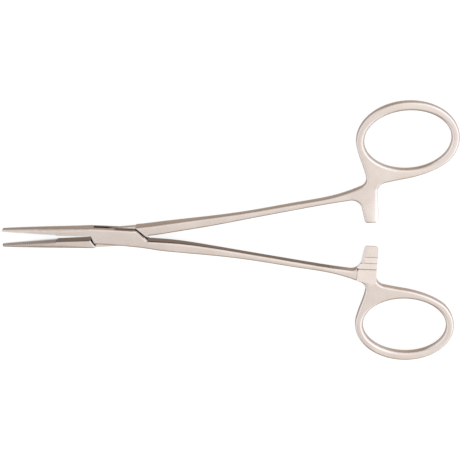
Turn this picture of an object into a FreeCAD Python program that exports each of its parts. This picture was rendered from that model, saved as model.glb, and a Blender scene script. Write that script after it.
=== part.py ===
import FreeCAD, Part
import math
import os
from FreeCAD import Vector

# Hemostat forceps: two forged halves that cross in a box lock, and the pivot pin that joins them.
# Millimetres. The origin is under the pivot, on the face that the box lock rests on. X runs to the
# finger rings, Y to the ring of the tongue half, Z up along the pivot. Each half is drawn in a frame
# of its own, jaws closed, Z from the mid-plane, its handle on the +Y side and its jaw on the -Y side,
# and the box half is then turned over about X.

# Angle between the halves as the forceps lie, 0 with the jaws closed
rest_opening = 6.6

# Jaw, from the pivot to its tip
jaw_length = 35.5
jaw_root_x = -8.2
jaw_root_depth = 2.8
jaw_middle_x = -18.0
jaw_middle_depth = 2.3
jaw_fore_x = -27.0
jaw_fore_depth = 1.65
jaw_tip_depth = 0.9
jaw_tip_radius = 0.8
jaw_tip_thickness = 2.0
jaw_fore_thickness = 3.0
jaw_middle_thickness = 3.7
jaw_tip_rounding = 0.65
jaw_fore_rounding = 1.15
jaw_middle_rounding = 1.4
jaw_set_in = 0.02
jaw_face_gap = 0.04
jaw_root_relief = 0.3

# Serrations across the jaw faces
serration_count = 25
serration_pitch = 0.68
serration_depth = 0.42
serration_land = 0.08

# Box lock: the tongue of one half runs through a slot between the two plates of the other
box_thickness = 4.2
box_width = 5.8
plate_left = (-6.5, 2.25)
plate_right = (6.65, -2.8)
plate_corner = (9.9, 0.45)
plate_root_x = -7.9
plate_left_bevel = 0.35
plate_right_bevel = 0.55
slot_left_x = -5.65
slot_right_x = 6.8
tongue_thickness = 1.5
tongue_play = 0.05
tongue_neck = 1.5
tongue_root_x = -8.1
shoulder_gap = 0.12
shoulder_bevel = 0.35
pin_diameter = 2.4
pin_play = 0.03

# Shank, with its two edges in plan
crotch_x = 10.2
crotch_gap = 0.24
shank_inner = [(17, 0.6), (29.5, 1.75), (42, 3.35), (54.5, 5.0), (66.5, 6.5)]
shank_outer = [(74.5, 10.45), (68.3, 8.75), (57.4, 7.3), (42, 5.5), (26.4, 4.3), (14, 3.5)]
shank_x = 26.0
shank_thickness = 3.2
handle_x = 60.0
handle_thickness = 2.9
edge_rounding = 0.7

# Finger ring
ring_x = 90.9
ring_y = 25.0
ring_length = 30.8
ring_height = 23.6
ring_side_wire = 2.4
ring_top_wire = 2.75
ring_thickness = 2.5
ring_rounding = 0.95
ring_foot_angle = -36
ring_web_angle = 190
ring_foot = [(87.3, 12.6), (91.1, 13.1), (94.8, 13.9), (98.3, 15.05)]
ring_web = [(76.75, 19.0), (77.55, 16.2)]

# Ratchet arm, between the shank and the foot of the ring
arm_left_x = 76.9
arm_right_x = 81.2
arm_left_lean = 1.2
arm_right_lean = 0.2
arm_root_left_y = 7.4
arm_root_right_y = 11.7
arm_tip_reach = 0.45
arm_root_left_radius = 3.2
arm_root_right_radius = 3.0
arm_tip_left_radius = 1.0
arm_tip_right_radius = 1.2
arm_back_bevel = 1.4
arm_tooth_bevel = 1.3
arm_back_slope = 0.5
arm_tooth_slope = 0.65
web_foot = (78.1, 11.8)
web_foot_radius = 2.5

# Ratchet teeth
crest_gap = 0.1
tooth_count = 3
tooth_pitch = 2.0
tooth_depth = 0.5
tooth_lean = 0.4
first_tooth_y = 2.95
teeth_runout = 3.6

# Where the bevels of the arm die out, from its roots towards its tip
back_bevel_stop = 1.5
tooth_bevel_stop = 2.0

# How near counts as touching
near = 0.02

# Values that follow
ring_a = ring_length / 2
ring_b = ring_height / 2
arm_root_left = (arm_left_x - arm_left_lean, arm_root_left_y)
arm_root_right = (arm_right_x - arm_right_lean, arm_root_right_y)
arm_tip_left = (arm_left_x, -arm_tip_reach)
arm_tip_right = (arm_right_x, -arm_tip_reach)
crotch = (crotch_x, crotch_gap / 2)
plate_root = (plate_root_x, -jaw_root_relief)
tongue_root = (tongue_root_x, -jaw_root_relief)
box_top = box_thickness / 2
tongue_top = tongue_thickness / 2
crest = crest_gap / 2
far_x = ring_x + ring_length
far_y = 2 * ring_y


# Lines and simple solids
def spline(points, start, end):
    places = [Vector(x, y, 0) for x, y in points]
    curve = Part.BSplineCurve()
    curve.interpolate(Points=places, InitialTangent=Vector(*start, 0), FinalTangent=Vector(*end, 0))
    return curve.toShape()


def chain(points):
    return [Part.makeLine(Vector(*a, 0), Vector(*b, 0)) for a, b in zip(points, points[1:])]


def prism(points, low, high):
    corners = [Vector(x, y, low) for x, y in points]
    return Part.Face(Part.makePolygon(corners + corners[:1])).extrude(Vector(0, 0, high - low))


def slab(low_x, high_x):
    corner = Vector(low_x, -far_y, -box_thickness)
    return Part.makeBox(high_x - low_x, 2 * far_y, 2 * box_thickness, corner)


def pin_hole(diameter):
    return Part.makeCylinder(diameter / 2, 2 * box_thickness, Vector(0, 0, -box_thickness))


def flip(point):
    return point[0], -point[1]


# The point past the end of a line, and moved to the left of it
def beyond(start, end, distance, left=0.0):
    length = math.dist(start, end)
    run_x = (end[0] - start[0]) / length
    run_y = (end[1] - start[1]) / length
    return end[0] + run_x * distance - run_y * left, end[1] + run_y * distance + run_x * left


# The solid that bevels an edge, where the piece lies to the left of the line from start to end
def wedge(start, end, level, up, start_size, end_size, slope=1.0):
    wires = []
    for spot, size in ((start, start_size), (end, end_size)):
        corners = []
        for inward, rise in ((size + 1, slope), (-1, -slope * (size + 1)), (-1, slope)):
            shifted = beyond(start, end, 0, inward)
            across = Vector(shifted[0] - end[0], shifted[1] - end[1], up * rise)
            corners.append(Vector(*spot, level) + across)
        wires.append(Part.makePolygon(corners + corners[:1]))
    return Part.makeLoft(wires, True, True)


# Outline of one half, anticlockwise from the root of the jaw face
def ring_point(degrees):
    t = math.radians(degrees)
    return ring_x + ring_a * math.cos(t), ring_y + ring_b * math.sin(t)


def ring_tangent(degrees):
    t = math.radians(degrees)
    return -ring_a * math.sin(t), ring_b * math.cos(t)


def jaw_edges(root, last):
    tip = -jaw_length
    face = -jaw_face_gap / 2
    serrations_end = tip + serration_count * serration_pitch
    back = [(tip, -jaw_tip_depth), (jaw_fore_x, -jaw_fore_depth), (jaw_middle_x, -jaw_middle_depth)]
    back += [(jaw_root_x, -jaw_root_depth), last]
    edges = chain([root, (serrations_end, face), (tip, face), back[0]])
    edges.append(spline(back, (1, -0.14), (1, 0)))
    return edges


def handle_edges(first, last):
    inner = [first] + shank_inner + [arm_root_left]
    foot = [arm_root_right] + ring_foot + [ring_point(ring_foot_angle)]
    web = [ring_point(ring_web_angle)] + ring_web + [web_foot]
    outer = [web_foot] + shank_outer + [last]
    ring = Part.Ellipse(Vector(ring_x, ring_y, 0), ring_a, ring_b)
    edges = [spline(inner, (1, 0.02), (1, 0.1))]
    edges += chain([arm_root_left, arm_tip_left, arm_tip_right, arm_root_right])
    edges.append(spline(foot, (1, 0.1), ring_tangent(ring_foot_angle)))
    edges.append(ring.toShape(math.radians(ring_foot_angle), math.radians(ring_web_angle)))
    edges.append(spline(web, ring_tangent(ring_web_angle), (0.02, -1)))
    edges.append(spline(outer, (-1, -0.42), (-1, -0.02)))
    return edges


# Side view that gives a half its thickness, thick at the lock and thin at the jaw tip and the ring
def side_view():
    jaw_line = [(-jaw_length, jaw_tip_thickness / 2), (jaw_fore_x, jaw_fore_thickness / 2)]
    jaw_line += [(jaw_middle_x, jaw_middle_thickness / 2), (jaw_root_x, box_top)]
    handle_line = [(crotch_x, box_top), (shank_x, shank_thickness / 2), (handle_x, handle_thickness / 2)]
    handle_line.append((far_x, ring_thickness / 2))
    top = [spline(jaw_line, (1, 0.06), (1, 0)), spline(handle_line, (1, 0), (1, 0))]
    top += chain([jaw_line[-1], handle_line[0]])
    bottom = [edge.mirror(Vector(0, 0, 0), Vector(0, 1, 0)) for edge in top]
    ends = chain([flip(jaw_line[0]), jaw_line[0]]) + chain([flip(handle_line[-1]), handle_line[-1]])
    face = Part.Face(Part.Wire(Part.sortEdges(top + bottom + ends)[0]))
    face.rotate(Vector(0, 0, 0), Vector(1, 0, 0), 90)
    face.translate(Vector(0, far_y, 0))
    return face.extrude(Vector(0, -2 * far_y, 0))


# Edges to be worked
def upright_edges(solid, spot):
    return [e for e in solid.Edges if all(math.dist((v.X, v.Y), spot) < near for v in e.Vertexes)]


def rim_edges(solid, wanted):
    found = []
    for edge in solid.Edges:
        middle = edge.valueAt((edge.FirstParameter + edge.LastParameter) / 2)
        ends = [v.Point for v in edge.Vertexes]
        level = abs(ends[0].z - ends[-1].z) < 0.5 * ends[0].distanceToPoint(ends[-1]) + near
        if level and abs(middle.z) > tongue_top + near and wanted(middle, ends):
            found.append(edge)
    return found


def is_ring_hole(middle, ends):
    return ends[0].distanceToPoint(ends[-1]) < near


def on_handle_outline(middle, ends):
    reach = math.hypot((middle.x - ring_x) / (ring_a - 0.5), (middle.y - ring_y) / (ring_b - 0.5))
    return middle.x > crotch_x + near and reach > 1


def on_lock_side(middle, ends):
    return abs(middle.y) > 0.4 * box_width


def off_line(point, start, end):
    across = (point.x - start[0]) * (end[1] - start[1]) - (point.y - start[1]) * (end[0] - start[0])
    return abs(across) / math.dist(start, end)


# Forging of one half from its outline, with the finger hole and the thickness
def forging(edges):
    tall = Vector(0, 0, 2 * box_thickness)
    solid = Part.Face(Part.Wire(Part.sortEdges(edges)[0])).extrude(tall)
    solid.translate(Vector(0, 0, -box_thickness))
    corners = [(arm_root_left, arm_root_left_radius), (arm_tip_left, arm_tip_left_radius)]
    corners += [(arm_tip_right, arm_tip_right_radius), (arm_root_right, arm_root_right_radius)]
    corners.append((web_foot, web_foot_radius))
    for spot, radius in corners:
        solid = solid.makeFillet(radius, upright_edges(solid, spot))
    centre = Vector(ring_x, ring_y, -box_thickness)
    hole = Part.Ellipse(centre, ring_a - ring_side_wire, ring_b - ring_top_wire)
    solid = solid.cut(Part.Face(Part.Wire(hole.toShape())).extrude(tall))
    return solid.common(side_view())


# Ratchet teeth, steep on the side of their own ring, as the space cut away
def tooth_space():
    tip_y = -arm_tip_reach - 1
    points = [(tip_y, -box_thickness), (tip_y, crest + tooth_depth)]
    for i in range(tooth_count):
        y = first_tooth_y + i * tooth_pitch
        points += [(y, crest), (y + tooth_lean, crest + tooth_depth)]
    runout_y = points[-1][0] + teeth_runout
    points += [(runout_y, -handle_thickness / 2), (runout_y, -box_thickness)]
    teeth_left_x = arm_root_left[0] - arm_root_left_radius / 4
    corners = [Vector(teeth_left_x, y, z) for y, z in points]
    face = Part.Face(Part.makePolygon(corners + corners[:1]))
    return face.extrude(Vector(arm_right_x + 1 - teeth_left_x, 0, 0))


# Handle: shank, ratchet arm and finger ring
def handle(solid):
    piece = solid.common(slab(crotch_x, far_x))
    piece = piece.makeFillet(ring_rounding, rim_edges(piece, is_ring_hole))
    piece = piece.makeFillet(edge_rounding, rim_edges(piece, on_handle_outline))
    past_tip = beyond(arm_root_right, arm_tip_right, 1)
    stop = beyond(arm_tip_right, arm_root_right, -back_bevel_stop)
    top = handle_thickness / 2
    back = wedge(past_tip, stop, top, 1, arm_back_bevel, edge_rounding, arm_back_slope)
    piece = piece.cut(back)
    past_tip = beyond(arm_root_left, arm_tip_left, 1)
    stop = beyond(arm_tip_left, arm_root_left, -tooth_bevel_stop)
    size = arm_tooth_bevel
    side = wedge(stop, past_tip, crest, -1, size, size, arm_tooth_slope)
    return piece.cut([tooth_space(), side])


# What the rounded corner of the jaw tip leaves off, as seen from above
def tip_corner():
    run = math.hypot(jaw_fore_x + jaw_length, jaw_fore_depth - jaw_tip_depth)
    back = -jaw_tip_depth - jaw_tip_radius * (jaw_fore_depth - jaw_tip_depth) / run
    start = (-jaw_length, back + jaw_tip_radius)
    end = (-jaw_length + jaw_tip_radius, back)
    turn = jaw_tip_radius * (1 - math.sqrt(0.5))
    arc = Part.Arc(Vector(*start, 0), Vector(start[0] + turn, end[1] + turn, 0), Vector(*end, 0))
    corner = (start[0] - 1, end[1] - 1)
    edges = [arc.toShape()] + chain([end, (end[0], corner[1]), corner, (corner[0], start[1]), start])
    solid = Part.Face(Part.Wire(Part.sortEdges(edges)[0])).extrude(Vector(0, 0, 2 * box_thickness))
    solid.translate(Vector(0, 0, -box_thickness))
    return solid


# Section across the jaw, with its rounded back on the -Y side
def jaw_section(x, depth, thickness, radius):
    top = thickness / 2
    turn = radius * (1 - math.sqrt(0.5))
    upper = [(-depth + radius, top), (-depth + turn, top - turn), (-depth, top - radius)]
    lower = [flip(p) for p in reversed(upper)]
    places = [[Vector(x, *p) for p in side] for side in (upper, lower)]
    edges = [Part.Arc(*side).toShape() for side in places]
    inside = [Vector(x, radius, -top), Vector(x, radius, top)]
    run = [places[1][2]] + inside + [places[0][0]]
    edges += [Part.makeLine(a, b) for a, b in zip(run, run[1:])]
    edges.append(Part.makeLine(places[0][2], places[1][0]))
    return Part.Wire(Part.sortEdges(edges)[0])


# Jaw: half-round back, thin at its tip, and serrated face
def jaw(root):
    tip = -jaw_length
    face = -jaw_face_gap / 2
    sections = [(tip, jaw_tip_depth, jaw_tip_thickness, jaw_tip_rounding)]
    sections.append((jaw_fore_x, jaw_fore_depth, jaw_fore_thickness, jaw_fore_rounding))
    sections.append((jaw_middle_x, jaw_middle_depth, jaw_middle_thickness, jaw_middle_rounding))
    root_thickness = box_thickness - 2 * jaw_set_in
    sections.append((jaw_root_x, jaw_root_depth - jaw_set_in, root_thickness, edge_rounding))
    piece = Part.makeLoft([jaw_section(*section) for section in sections], True, False)
    beside_face = [(tip - 1, face), (tip + serration_count * serration_pitch, face), root, (0, box_width)]
    piece = piece.cut(prism(beside_face + [(tip - 1, box_width)], -box_thickness, box_thickness))
    floor = face - serration_depth
    wide = (serration_pitch - serration_land) / 2
    grooves = []
    for i in range(serration_count):
        x = tip + (i + 0.5) * serration_pitch
        grooves.append(prism([(x - wide, 0), (x, floor), (x + wide, 0)], -box_thickness, box_thickness))
    return piece.cut(grooves + [tip_corner()])


# Half that passes through: a thin tongue between shoulders that face the plates of the box
def shoulder(start, end):
    start = flip(start)
    end = flip(end)
    return beyond(end, start, 3, -shoulder_gap), beyond(start, end, 3, shoulder_gap)


def tongue_half():
    bottom = (tongue_neck, -box_width / 2)
    top = (-tongue_neck, box_width / 2)
    edges = jaw_edges(tongue_root, bottom) + chain([bottom, crotch])
    edges += handle_edges(crotch, top) + chain([top, tongue_root])
    solid = forging(edges)
    right = shoulder(plate_right, plate_corner)
    left = shoulder(plate_left, plate_root)
    recess = [right[0], left[1], left[0], right[1]]
    lock = solid.common(slab(jaw_root_x, crotch_x))
    lock = lock.makeFillet(edge_rounding, rim_edges(lock, on_lock_side))
    upper = prism(recess, tongue_top, box_thickness)
    lower = prism(recess, -box_thickness, -tongue_top)
    lock = lock.cut([upper, lower])
    ends = rim_edges(lock, lambda m, e: off_line(m, *left) < near)
    lock = lock.makeChamfer(shoulder_bevel, [e for e in ends if abs(e.CenterOfMass.z) > tongue_top + near])
    whole = handle(solid).fuse([jaw(tongue_root), lock])
    return whole.cut(pin_hole(pin_diameter + 2 * pin_play)).removeSplitter()


# Half that carries the box: two plates with bevelled ends and the slot between them
def box_half():
    edges = jaw_edges(plate_root, plate_right) + chain([plate_right, plate_corner])
    edges += handle_edges(plate_corner, plate_left) + chain([plate_left, plate_root])
    solid = forging(edges)
    lock = solid.common(slab(jaw_root_x, crotch_x))
    lock = lock.makeFillet(edge_rounding, rim_edges(lock, on_lock_side))
    ends = ((plate_right, plate_corner, plate_right_bevel), (plate_left, plate_root, plate_left_bevel))
    for start, end, size in ends:
        for up in (1, -1):
            lock = lock.cut(wedge(beyond(end, start, 2), end, up * box_top, up, size, size))
    slot = [(slot_left_x, -box_width), plate_root, (jaw_root_x - 1, 2), (plate_left[0], box_width)]
    slot += [(slot_right_x, box_width), (slot_right_x, box_width / 2), plate_corner]
    slot += [(crotch_x, -1), (slot_right_x, -box_width)]
    opening = prism(slot, -tongue_top - tongue_play, tongue_top + tongue_play)
    whole = handle(solid).fuse([jaw(plate_root), lock])
    return whole.cut([opening, pin_hole(pin_diameter)]).removeSplitter()


# Pin, ground flush with both faces of the lock
def pivot_pin():
    pin = Part.makeCylinder(pin_diameter / 2, box_thickness)
    pin.translate(Vector(0, 0, -box_top))
    return pin


# Pieces in place
def place(shape, turned_over, degrees):
    if turned_over:
        shape.rotate(Vector(0, 0, 0), Vector(1, 0, 0), 180)
    shape.rotate(Vector(0, 0, 0), Vector(0, 0, 1), degrees)
    shape.translate(Vector(0, 0, box_top))
    return shape


pieces = {
    "tongue_half": place(tongue_half(), False, rest_opening / 2),
    "box_half": place(box_half(), True, -rest_opening / 2),
    "pivot_pin": place(pivot_pin(), False, 0),
}
os.makedirs("parts", exist_ok=True)
for name, shape in pieces.items():
    print(name, len(shape.Solids), shape.isValid(), round(shape.Volume, 1))
    shape.Solids[0].exportStep(f"parts/{name}.step")
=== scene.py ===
import bpy
import math
from mathutils import Matrix, Vector


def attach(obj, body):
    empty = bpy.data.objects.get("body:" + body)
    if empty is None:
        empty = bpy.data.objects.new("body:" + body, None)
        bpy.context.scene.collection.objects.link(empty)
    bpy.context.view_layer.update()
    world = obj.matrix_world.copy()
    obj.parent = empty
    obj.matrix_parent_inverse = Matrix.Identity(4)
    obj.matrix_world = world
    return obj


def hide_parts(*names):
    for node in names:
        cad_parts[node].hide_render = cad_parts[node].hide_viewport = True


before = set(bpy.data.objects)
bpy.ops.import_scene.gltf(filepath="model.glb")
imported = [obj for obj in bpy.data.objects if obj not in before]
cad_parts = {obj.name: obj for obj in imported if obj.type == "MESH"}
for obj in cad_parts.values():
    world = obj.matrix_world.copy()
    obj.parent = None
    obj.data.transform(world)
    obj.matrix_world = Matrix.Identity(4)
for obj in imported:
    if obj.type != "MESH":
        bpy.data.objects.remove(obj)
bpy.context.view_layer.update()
mm = 0.001


# colours are written as sRGB hex and handed on as linear values
def linear(hexColour):
    channels = [int(hexColour[i:i + 2], 16) / 255 for i in (0, 2, 4)]
    return [c / 12.92 if c <= 0.04045 else ((c + 0.055) / 1.055) ** 2.4 for c in channels] + [1.0]


# adds one node with its settings, and links or values for its inputs
def addNode(tree, kind, inputs=None, **settings):
    node = tree.nodes.new(kind)
    for name, value in settings.items():
        setattr(node, name, value)
    for name, value in (inputs or {}).items():
        if isinstance(value, bpy.types.NodeSocket):
            tree.links.new(value, node.inputs[name])
        else:
            node.inputs[name].default_value = value
    return node


# Stainless steel, forged, then ground and brushed by hand to a satin sheen: fine grinding lines
# follow the shank and turn round the ring. The faces that look at the other half get painted shade,
# the serration crests a painted highlight, and painted shade fills the narrow gaps: the serrations, the
# slot and the joints
satinSteel = {
    "colour": "d6ccc5",
    "warmPatch": "cfc3bb",
    "patchSize": 9.0,        # mm across a warmer or cooler patch
    "patchContrast": (0.35, 0.65),
    "lineSpacing": 0.16,     # mm between grinding lines, drawn three times as coarse as the real 0.05
    "lineDepth": 0.004,      # mm
    "lineContrast": (0.3, 0.7),
    "bumpStrength": 0.6,
    "grainSize": 0.35,       # mm, the pits that the satin finish leaves
    "roughness": 0.24,
    "roughnessSpread": 0.06,
    "paintedInnerShade": "8e827b",        # painted shade on the faces that look at the other half
    "crestHighlight": "f3efec",        # painted highlight on the crests of the serrations
    # painted shade in narrow gaps, where ambient occlusion finds little open space
    "creviceShade": "332a24",
    "creviceShadeReach": 0.9,        # mm that a gap may be wide for the painted shade to fill it
    "creviceShadeFrom": 0.55,        # share of open space at which the painted shade is whole, and where it ends
    "creviceShadeTo": 0.66,
}


def makeSatinSteel(name, look):
    material = bpy.data.materials.new(name)
    material.use_nodes = True
    tree = material.node_tree
    tree.nodes.clear()
    place = addNode(tree, "ShaderNodeTexCoord").outputs["Object"]
    brushed = addNode(tree, "ShaderNodeAttribute", attribute_name="brushedAlong").outputs["Vector"]
    inner = addNode(tree, "ShaderNodeAttribute", attribute_name="innerShadeMask").outputs["Fac"]
    crest = addNode(tree, "ShaderNodeAttribute", attribute_name="crestHighlightMask").outputs["Fac"]
    patches = addNode(tree, "ShaderNodeTexNoise", {
        "Vector": place, "Scale": 1 / (look["patchSize"] * mm), "Detail": 3.0, "Roughness": 0.55})
    patchRamp = addNode(tree, "ShaderNodeMapRange", {
        "Value": patches.outputs["Fac"],
        "From Min": look["patchContrast"][0], "From Max": look["patchContrast"][1]})
    lines = addNode(tree, "ShaderNodeTexNoise", {
        "Vector": brushed, "Scale": 1 / (look["lineSpacing"] * mm), "Detail": 4.0, "Roughness": 0.6})
    grain = addNode(tree, "ShaderNodeTexNoise", {
        "Vector": place, "Scale": 1 / (look["grainSize"] * mm), "Detail": 2.0})
    ground = addNode(tree, "ShaderNodeMix", {
        0: patchRamp.outputs["Result"],
        6: linear(look["colour"]),
        7: linear(look["warmPatch"])}, data_type="RGBA")
    # painted shade on the faces that look at the other half
    innerShaded = addNode(tree, "ShaderNodeMix", {
        0: inner, 6: ground.outputs[2], 7: linear(look["paintedInnerShade"])}, data_type="RGBA")
    # painted highlight on the serration crests
    crestHighlight = addNode(tree, "ShaderNodeMix", {
        0: crest, 6: innerShaded.outputs[2], 7: linear(look["crestHighlight"])}, data_type="RGBA")
    # painted shade in narrow gaps, darkened by ambient occlusion
    space = addNode(tree, "ShaderNodeAmbientOcclusion", {"Distance": look["creviceShadeReach"] * mm}, samples=8)
    unshadedShare = addNode(tree, "ShaderNodeMapRange", {
        "Value": space.outputs["AO"], "From Min": look["creviceShadeFrom"], "From Max": look["creviceShadeTo"]})
    colour = addNode(tree, "ShaderNodeMix", {
        0: unshadedShare.outputs["Result"],
        6: linear(look["creviceShade"]),
        7: crestHighlight.outputs[2]}, data_type="RGBA")
    roughness = addNode(tree, "ShaderNodeMapRange", {
        "Value": lines.outputs["Fac"],
        "From Min": look["lineContrast"][0], "From Max": look["lineContrast"][1],
        "To Min": look["roughness"] - look["roughnessSpread"],
        "To Max": look["roughness"] + look["roughnessSpread"]})
    height = addNode(tree, "ShaderNodeMath", {
        0: lines.outputs["Fac"], 1: grain.outputs["Fac"]}, operation="ADD")
    bump = addNode(tree, "ShaderNodeBump", {
        "Height": height.outputs["Value"], "Distance": look["lineDepth"] * mm,
        "Strength": look["bumpStrength"]})
    steel = addNode(tree, "ShaderNodeBsdfPrincipled", {
        "Base Color": colour.outputs[2],
        "Metallic": 1.0,
        "Roughness": roughness.outputs["Result"],
        "Normal": bump.outputs["Normal"]})
    addNode(tree, "ShaderNodeOutputMaterial", {"Surface": steel.outputs["BSDF"]})
    return material


steelOfHalves = makeSatinSteel("satinStainless", satinSteel)
steelOfPin = makeSatinSteel("groundPinStainless", satinSteel)
print("materials made")


# Finish of a forged half, whose brushing follows its shank and turns round its finger ring
forgedHalf = {
    "restTurn": 3.3,         # degrees that each half is turned about the pivot as it lies
    "ringCentre": (90.9, 25.0),
    "ringHalfLength": 15.4,
    "ringHalfHeight": 11.8,
    "ringBlendFrom": 1.25,   # where the brushing starts to follow the ring, 1 on its outline
    "ringBlendTo": 1.02,
    "brushStretch": 0.03,    # how much a grinding line varies along its length
    "innerTurn": (0.55, 0.95),   # how squarely a face looks at the other half, from no painted shade to full painted shade
    "innerEnd": (66.0, 76.0),    # mm from the pivot over which the painted shade on the inner faces fades out
    "serrationsEnd": -18.5,  # mm, where the serrated stretch of the jaw face ends
    "crestTurn": -0.3,       # how squarely a flank of a serration looks at the other jaw
    "sharpAngle": 32.0,      # degrees between faces past which an edge stays crisp
    "mergeDistance": 0.0005,  # mm
    "faceWeight": 60,        # how much large faces lead the shading beside small ones
}


def brushingTree(look):
    tree = bpy.data.node_groups.new("forgedHalfFinish", "GeometryNodeTree")
    tree.interface.new_socket("Geometry", in_out="INPUT", socket_type="NodeSocketGeometry")
    for name in ("Turn", "Side", "Sharp Angle", "Merge Distance", "Brush Stretch"):
        tree.interface.new_socket(name, in_out="INPUT", socket_type="NodeSocketFloat")
    tree.interface.new_socket("Steel", in_out="INPUT", socket_type="NodeSocketMaterial")
    tree.interface.new_socket("Geometry", in_out="OUTPUT", socket_type="NodeSocketGeometry")
    given = addNode(tree, "NodeGroupInput").outputs
    merged = addNode(tree, "GeometryNodeMergeByDistance", {
        "Geometry": given["Geometry"], "Distance": given["Merge Distance"]})
    # the half's own directions: along its shank and across it
    place = addNode(tree, "GeometryNodeInputPosition").outputs["Position"]
    turned = addNode(tree, "ShaderNodeVectorRotate", {
        "Vector": place, "Angle": given["Turn"]}, rotation_type="Z_AXIS")
    own = addNode(tree, "ShaderNodeSeparateXYZ", {"Vector": turned.outputs["Vector"]}).outputs
    across = addNode(tree, "ShaderNodeMath", {0: own["Y"], 1: given["Side"]}, operation="MULTIPLY")
    # distance out from the ring's centre, 1 on its outline
    ringX = addNode(tree, "ShaderNodeMath", {
        0: own["X"], 1: -look["ringCentre"][0] * mm}, operation="ADD")
    ringY = addNode(tree, "ShaderNodeMath", {
        0: across.outputs["Value"], 1: -look["ringCentre"][1] * mm}, operation="ADD")
    partX = addNode(tree, "ShaderNodeMath", {
        0: ringX.outputs["Value"], 1: look["ringHalfLength"] * mm}, operation="DIVIDE")
    partY = addNode(tree, "ShaderNodeMath", {
        0: ringY.outputs["Value"], 1: look["ringHalfHeight"] * mm}, operation="DIVIDE")
    offset = addNode(tree, "ShaderNodeCombineXYZ", {
        "X": partX.outputs["Value"], "Y": partY.outputs["Value"]})
    out = addNode(tree, "ShaderNodeVectorMath", {0: offset.outputs["Vector"]}, operation="LENGTH")
    # lines run along the shank, and round the ring where the piece is near it
    slow = addNode(tree, "ShaderNodeMath", {0: own["X"], 1: given["Brush Stretch"]}, operation="MULTIPLY")
    shank = addNode(tree, "ShaderNodeCombineXYZ", {
        "X": slow.outputs["Value"], "Y": across.outputs["Value"], "Z": own["Z"]})
    ringOut = addNode(tree, "ShaderNodeMath", {
        0: out.outputs["Value"], 1: look["ringHalfHeight"] * mm}, operation="MULTIPLY")
    ring = addNode(tree, "ShaderNodeCombineXYZ", {
        "X": slow.outputs["Value"], "Y": ringOut.outputs["Value"], "Z": own["Z"]})
    nearRing = addNode(tree, "ShaderNodeMapRange", {
        "Value": out.outputs["Value"],
        "From Min": look["ringBlendTo"], "From Max": look["ringBlendFrom"],
        "To Min": 1.0, "To Max": 0.0}, interpolation_type="SMOOTHSTEP")
    brushed = addNode(tree, "ShaderNodeMix", {
        0: nearRing.outputs["Result"],
        4: shank.outputs["Vector"],
        5: ring.outputs["Vector"]}, data_type="VECTOR")
    kept = addNode(tree, "GeometryNodeStoreNamedAttribute", {
        "Geometry": merged.outputs["Geometry"], "Name": "brushedAlong",
        "Value": brushed.outputs[1]}, data_type="FLOAT_VECTOR", domain="POINT")
    # faces that look at the other half, the jaw face and the inner side of the shank, marked for painted
    # shade
    facing = addNode(tree, "GeometryNodeInputNormal").outputs["Normal"]
    facingTurned = addNode(tree, "ShaderNodeVectorRotate", {
        "Vector": facing, "Angle": given["Turn"]}, rotation_type="Z_AXIS")
    facingParts = addNode(tree, "ShaderNodeSeparateXYZ", {"Vector": facingTurned.outputs["Vector"]}).outputs
    outward = addNode(tree, "ShaderNodeMath", {0: facingParts["Y"], 1: given["Side"]}, operation="MULTIPLY")
    end = addNode(tree, "ShaderNodeMath", {0: own["X"]}, operation="SIGN")
    looking = addNode(tree, "ShaderNodeMath", {
        0: outward.outputs["Value"], 1: end.outputs["Value"]}, operation="MULTIPLY")
    square = addNode(tree, "ShaderNodeMapRange", {
        "Value": looking.outputs["Value"],
        "From Min": -look["innerTurn"][0], "From Max": -look["innerTurn"][1]})
    beforeRing = addNode(tree, "ShaderNodeMapRange", {
        "Value": own["X"],
        "From Min": look["innerEnd"][0] * mm, "From Max": look["innerEnd"][1] * mm,
        "To Min": 1.0, "To Max": 0.0})
    inner = addNode(tree, "ShaderNodeMath", {
        0: square.outputs["Result"], 1: beforeRing.outputs["Result"]}, operation="MULTIPLY")
    marked = addNode(tree, "GeometryNodeStoreNamedAttribute", {
        "Geometry": kept.outputs["Geometry"], "Name": "innerShadeMask",
        "Value": inner.outputs["Value"]}, data_type="FLOAT", domain="FACE")
    # serrations, whose crests get a painted highlight
    beforePlain = addNode(tree, "FunctionNodeCompare", {
        "A": own["X"], "B": look["serrationsEnd"] * mm}, data_type="FLOAT", operation="LESS_THAN")
    facesJaw = addNode(tree, "FunctionNodeCompare", {
        "A": looking.outputs["Value"], "B": look["crestTurn"]}, data_type="FLOAT", operation="LESS_THAN")
    crestHighlightMask = addNode(tree, "FunctionNodeBooleanMath", {
        0: beforePlain.outputs["Result"], 1: facesJaw.outputs["Result"]}, operation="AND")
    marked = addNode(tree, "GeometryNodeStoreNamedAttribute", {
        "Geometry": marked.outputs["Geometry"], "Name": "crestHighlightMask",
        "Value": crestHighlightMask.outputs["Boolean"]}, data_type="FLOAT", domain="FACE")
    # crisp edges at the serrations, teeth, slot and shoulders, and smooth faces elsewhere
    smooth = addNode(tree, "GeometryNodeSetShadeSmooth", {
        "Geometry": marked.outputs["Geometry"], "Shade Smooth": True}, domain="FACE")
    bend = addNode(tree, "GeometryNodeInputMeshEdgeAngle").outputs["Unsigned Angle"]
    crisp = addNode(tree, "FunctionNodeCompare", {
        "A": bend, "B": given["Sharp Angle"]}, data_type="FLOAT", operation="GREATER_THAN")
    edged = addNode(tree, "GeometryNodeSetShadeSmooth", {
        "Geometry": smooth.outputs["Geometry"], "Selection": crisp.outputs["Result"],
        "Shade Smooth": False}, domain="EDGE")
    dressed = addNode(tree, "GeometryNodeSetMaterial", {
        "Geometry": edged.outputs["Geometry"], "Material": given["Steel"]})
    real = addNode(tree, "GeometryNodeRealizeInstances", {"Geometry": dressed.outputs["Geometry"]})
    addNode(tree, "NodeGroupOutput", {"Geometry": real.outputs["Geometry"]})
    return tree


finishTree = brushingTree(forgedHalf)


def setInputs(modifier, values):
    for item in modifier.node_group.interface.items_tree:
        if item.in_out == "INPUT" and item.name in values:
            modifier[item.identifier] = values[item.name]


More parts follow.
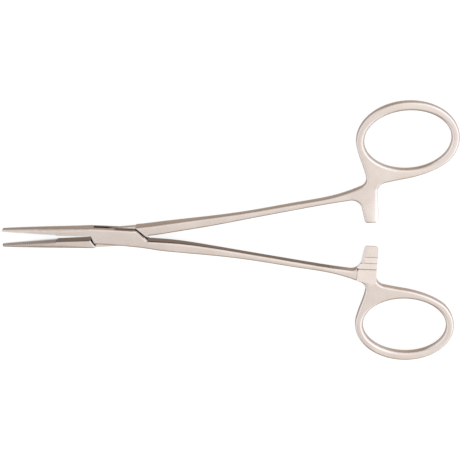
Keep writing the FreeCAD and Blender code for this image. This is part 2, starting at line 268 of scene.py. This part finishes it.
def finishForging(name, node, body, side, look, steel):
    piece = bpy.data.objects.new(name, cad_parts[node].data.copy())
    bpy.context.scene.collection.objects.link(piece)
    finish = piece.modifiers.new("finish", "NODES")
    finish.node_group = finishTree
    setInputs(finish, {
        "Turn": -side * math.radians(look["restTurn"]),
        "Side": side,
        "Sharp Angle": math.radians(look["sharpAngle"]),
        "Merge Distance": look["mergeDistance"] * mm,
        "Brush Stretch": look["brushStretch"],
        "Steel": steel})
    even = piece.modifiers.new("even normals", "WEIGHTED_NORMAL")
    even.keep_sharp = True
    even.weight = look["faceWeight"]
    depsgraph = bpy.context.evaluated_depsgraph_get()
    mesh = bpy.data.meshes.new_from_object(piece.evaluated_get(depsgraph), depsgraph=depsgraph)
    piece.modifiers.clear()
    piece.data = mesh
    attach(piece, body)
    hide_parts(node)
    print(name, "has", len(mesh.polygons), "faces")
    return piece


finishForging("tongueHalf", "tongue_half", "tongue", 1.0, forgedHalf, steelOfHalves)
finishForging("boxHalf", "box_half", "box", -1.0, forgedHalf, steelOfHalves)
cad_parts["pivot_pin"].data.materials.clear()
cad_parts["pivot_pin"].data.materials.append(steelOfPin)
print("pieces made")


# White table in a light tent: bright cloth at both ends, softer light above, and a dark surround
# below the table's edge, which only the steep sides of the steel mirror
studio = {
    "tableColour": "8c8b8a",
    "tableGlow": 0.8,
    "tableSize": 3.0,                       # m
    "tableDrop": 0.02,                      # mm under the steel, so that the two do not flicker
    "ringEnd": [                            # height of a direction, colour and strength
        (-0.15, "ddd8d5", 1.0), (0.1, "f2f6ff", 2.1), (0.28, "f4f5fa", 1.3), (0.5, "f4f5fa", 1.3),
        (0.66, "f2f6ff", 2.1)],
    "jawEnd": [
        (-0.15, "ddd8d5", 1.0), (0.1, "f2f6ff", 1.45), (0.28, "f4f5fa", 1.3), (0.5, "f4f5fa", 1.3),
        (0.66, "f2f6ff", 1.6)],
    "ringEndSpread": (0.2, 0.42),           # how far a direction points along the forceps
    "jawEndSpread": (0.36, 0.56),
    "sidesMeet": (-0.3, 0.1),               # how far a direction points to +Y where the two sides meet
    "dimming": (-0.32, 0.12, 0.9, 1.28),   # from the jaws' end to the rings' end, and by how much
    "towardsBack": [                        # the same on the +Y side
        (-1.0, "bcb0a5", 1.0), (-0.25, "b3a69b", 1.0), (0.2, "d4cac2", 1.0),
        (0.5, "f6f4f2", 1.0), (0.85, "ffffff", 1.1), (1.0, "ffffff", 1.1)],
    "towardsFront": [                       # the same on the -Y side
        (-1.0, "a3968b", 1.0), (-0.3, "a3968b", 1.0), (0.1, "bdb1a8", 1.0), (0.45, "e2dbd5", 1.0),
        (0.85, "f1eeeb", 1.0), (1.0, "ffffff", 1.0)],
}


def makeTable(look):
    bpy.ops.mesh.primitive_plane_add(size=look["tableSize"], location=(0, 0, -look["tableDrop"] * mm))
    table = bpy.context.object
    table.name = "table"
    paper = bpy.data.materials.new("whiteTable")
    paper.use_nodes = True
    surface = paper.node_tree.nodes["Principled BSDF"]
    surface.inputs["Base Color"].default_value = linear(look["tableColour"])
    surface.inputs["Roughness"].default_value = 0.9
    surface.inputs["Emission Color"].default_value = linear("ffffff")
    surface.inputs["Emission Strength"].default_value = look["tableGlow"]
    table.data.materials.append(paper)
    table.visible_glossy = False


def makeTent(look):
    world = bpy.data.worlds.new("tent")
    world.use_nodes = True
    tree = world.node_tree
    tree.nodes.clear()
    direction = addNode(tree, "ShaderNodeTexCoord").outputs["Generated"]
    part = addNode(tree, "ShaderNodeSeparateXYZ", {"Vector": direction}).outputs

    def glow(colour, strength):
        return [c * strength for c in linear(colour)[:3]] + [1.0]

    def share(value, low, high):
        return addNode(tree, "ShaderNodeMapRange", {
            "Value": value, "From Min": low, "From Max": high},
            interpolation_type="SMOOTHSTEP").outputs["Result"]

    def blend(amount, low, high):
        mixed = addNode(tree, "ShaderNodeMix", {0: amount, 6: low, 7: high}, data_type="RGBA")
        mixed.clamp_result = False
        return mixed.outputs[2]

    def cloth(steps):
        light = glow(*steps[0][1:])
        for below, above in zip(steps, steps[1:]):
            light = blend(share(part["Z"], below[0], above[0]), light, glow(*above[1:]))
        return light

    def end(name, along):
        return share(along, *look[name + "Spread"]), cloth(look[name])

    acrossShare = share(part["Y"], *look["sidesMeet"])
    sides = blend(acrossShare, cloth(look["towardsFront"]), cloth(look["towardsBack"]))
    low, high, least, most = look["dimming"]
    dimming = addNode(tree, "ShaderNodeMapRange", {
        "Value": part["X"], "From Min": low, "From Max": high, "To Min": least, "To Max": most})
    dimmed = addNode(tree, "ShaderNodeVectorMath", {
        0: sides, "Scale": dimming.outputs["Result"]}, operation="SCALE").outputs["Vector"]
    towardsJaws = addNode(tree, "ShaderNodeMath", {0: part["X"], 1: -1.0}, operation="MULTIPLY")
    ringShare, ringLight = end("ringEnd", part["X"])
    jawShare, jawLight = end("jawEnd", towardsJaws.outputs["Value"])
    light = blend(jawShare, blend(ringShare, dimmed, ringLight), jawLight)
    tent = addNode(tree, "ShaderNodeBackground", {"Color": light, "Strength": 1.0})
    addNode(tree, "ShaderNodeOutputWorld", {"Surface": tent.outputs["Background"]})
    bpy.context.scene.world = world


makeTable(studio)
makeTent(studio)
print("studio made")


# Camera, nearly overhead and tipped towards the rings of the tongue half's side
shot = {
    "target": (35.4, 1.8, 2.1),      # mm
    "distance": 430.6,               # mm
    "tilt": 20.0,                    # degrees from straight down, towards +Y
    "aside": 3.0,                    # degrees towards +X
    "roll": -1.56,                   # degrees
    "sensor": 36.0,
    "pixelsPerMillimetre": 3.25,
    "imageSize": 460,
}


def makeCamera(look):
    lens = look["pixelsPerMillimetre"] * look["distance"] * look["sensor"] / look["imageSize"]
    camera = bpy.data.cameras.new("camera")
    camera.sensor_width = look["sensor"]
    camera.lens = lens
    tilt = math.radians(look["tilt"])
    aside = math.radians(look["aside"])
    back = Vector((math.sin(aside), math.sin(tilt) * math.cos(aside), 0))
    back.z = math.sqrt(1 - back.length_squared)
    up = (Vector((0, 1, 0)) - back * back.y).normalized()
    right = up.cross(back)
    turn = math.radians(look["roll"])
    sideways = math.cos(turn) * right + math.sin(turn) * up
    upwards = math.cos(turn) * up - math.sin(turn) * right
    rig = bpy.data.objects.new("camera", camera)
    bpy.context.scene.collection.objects.link(rig)
    place = (Vector(look["target"]) + back * look["distance"]) * mm
    turned = Matrix((sideways, upwards, back)).transposed().to_4x4()
    rig.matrix_world = Matrix.Translation(place) @ turned
    bpy.context.scene.camera = rig


makeCamera(shot)
bpy.context.scene.view_settings.view_transform = "Standard"
print("camera made")
